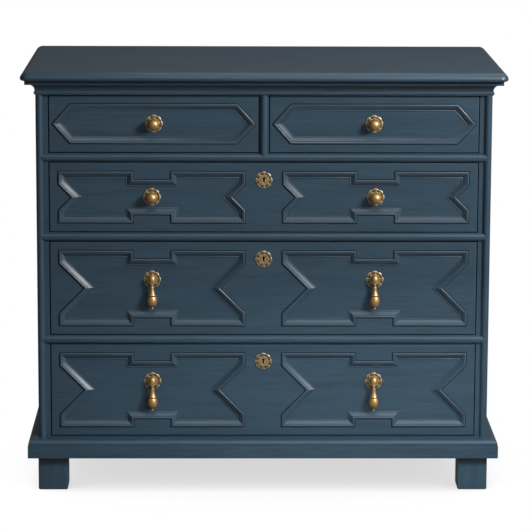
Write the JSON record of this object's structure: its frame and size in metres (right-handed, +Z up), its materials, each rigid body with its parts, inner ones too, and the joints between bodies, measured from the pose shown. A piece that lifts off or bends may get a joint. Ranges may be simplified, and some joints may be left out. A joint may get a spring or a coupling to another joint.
{
  "type": "chest of drawers",
  "caption": "Painted chest of drawers with sunk panels in mitred geometric mouldings, brass ball knobs, pear drop pulls and pierced escutcheons, on a plinth with block feet.",
  "frame": {"origin": "on the floor, under the middle of the top board", "axes": "+X to the right as one faces the drawers, +Y from the front to the back, +Z up"},
  "size_m": [1.097, 0.56, 0.9675],
  "materials": {
    "painted_oak": "satin slate blue paint over open-grained oak",
    "drawer_lining": "clear matt lacquer on pale oak",
    "aged_brass": "cast and aged, rubbed bright on the high places"
  },
  "bodies": {
    "carcass": {"top_board": "painted_oak", "cornice_front": "painted_oak", "cornice_left": "painted_oak", "cornice_right": "painted_oak", "top_rail": "painted_oak", "side_left": "painted_oak", "side_right": "painted_oak", "back_panel": "painted_oak", "bottom_board": "drawer_lining", "stile_left": "painted_oak", "stile_right": "painted_oak", "upper_rail": "painted_oak", "middle_rail": "painted_oak", "lower_rail": "painted_oak", "centre_divider": "painted_oak", "plinth_front": "painted_oak", "plinth_left": "painted_oak", "plinth_right": "painted_oak", "feet": "painted_oak", "drawer_runners": "drawer_lining"},
    "small_drawer_left": {"small_left_front": "painted_oak", "small_left_sides": "drawer_lining", "small_left_back": "drawer_lining", "small_left_bottom": "drawer_lining", "small_left_moulding": "painted_oak", "small_left_rosette": "aged_brass", "small_left_knob": "aged_brass"},
    "small_drawer_right": {"small_right_front": "painted_oak", "small_right_sides": "drawer_lining", "small_right_back": "drawer_lining", "small_right_bottom": "drawer_lining", "small_right_moulding": "painted_oak", "small_right_rosette": "aged_brass", "small_right_knob": "aged_brass"},
    "upper_drawer": {"upper_front": "painted_oak", "upper_sides": "drawer_lining", "upper_back": "drawer_lining", "upper_bottom": "drawer_lining", "upper_mouldings": "painted_oak", "upper_rosettes": "aged_brass", "upper_escutcheon": "aged_brass", "upper_knobs": "aged_brass"},
    "middle_drawer": {"middle_front": "painted_oak", "middle_sides": "drawer_lining", "middle_back": "drawer_lining", "middle_bottom": "drawer_lining", "middle_mouldings": "painted_oak", "middle_rosettes": "aged_brass", "middle_escutcheon": "aged_brass"},
    "lower_drawer": {"lower_front": "painted_oak", "lower_sides": "drawer_lining", "lower_back": "drawer_lining", "lower_bottom": "drawer_lining", "lower_mouldings": "painted_oak", "lower_rosettes": "aged_brass", "lower_escutcheon": "aged_brass"},
    "middle_drop_left": {"middle_drop_left": "aged_brass"},
    "middle_drop_right": {"middle_drop_right": "aged_brass"},
    "lower_drop_left": {"lower_drop_left": "aged_brass"},
    "lower_drop_right": {"lower_drop_right": "aged_brass"}
  },
  "joints": [
    {"name": "small_drawer_left_slide", "type": "slide", "parent": "carcass", "child": "small_drawer_left", "axis": [0, -1, 0], "range_m": [0, 0.3]},
    {"name": "small_drawer_right_slide", "type": "slide", "parent": "carcass", "child": "small_drawer_right", "axis": [0, -1, 0], "range_m": [0, 0.3]},
    {"name": "upper_drawer_slide", "type": "slide", "parent": "carcass", "child": "upper_drawer", "axis": [0, -1, 0], "range_m": [0, 0.3]},
    {"name": "middle_drawer_slide", "type": "slide", "parent": "carcass", "child": "middle_drawer", "axis": [0, -1, 0], "range_m": [0, 0.3]},
    {"name": "lower_drawer_slide", "type": "slide", "parent": "carcass", "child": "lower_drawer", "axis": [0, -1, 0], "range_m": [0, 0.3]},
    {"name": "middle_drop_left_swing", "type": "hinge", "parent": "middle_drawer", "child": "middle_drop_left", "pos_m": [-0.25435, -0.2405, 0.47905], "axis": [-1, 0, 0], "range_deg": [0, 80]},
    {"name": "middle_drop_right_swing", "type": "hinge", "parent": "middle_drawer", "child": "middle_drop_right", "pos_m": [0.25435, -0.2405, 0.47905], "axis": [-1, 0, 0], "range_deg": [0, 80]},
    {"name": "lower_drop_left_swing", "type": "hinge", "parent": "lower_drawer", "child": "lower_drop_left", "pos_m": [-0.25435, -0.2405, 0.24095], "axis": [-1, 0, 0], "range_deg": [0, 80]},
    {"name": "lower_drop_right_swing", "type": "hinge", "parent": "lower_drawer", "child": "lower_drop_right", "pos_m": [0.25435, -0.2405, 0.24095], "axis": [-1, 0, 0], "range_deg": [0, 80]}
  ]
}
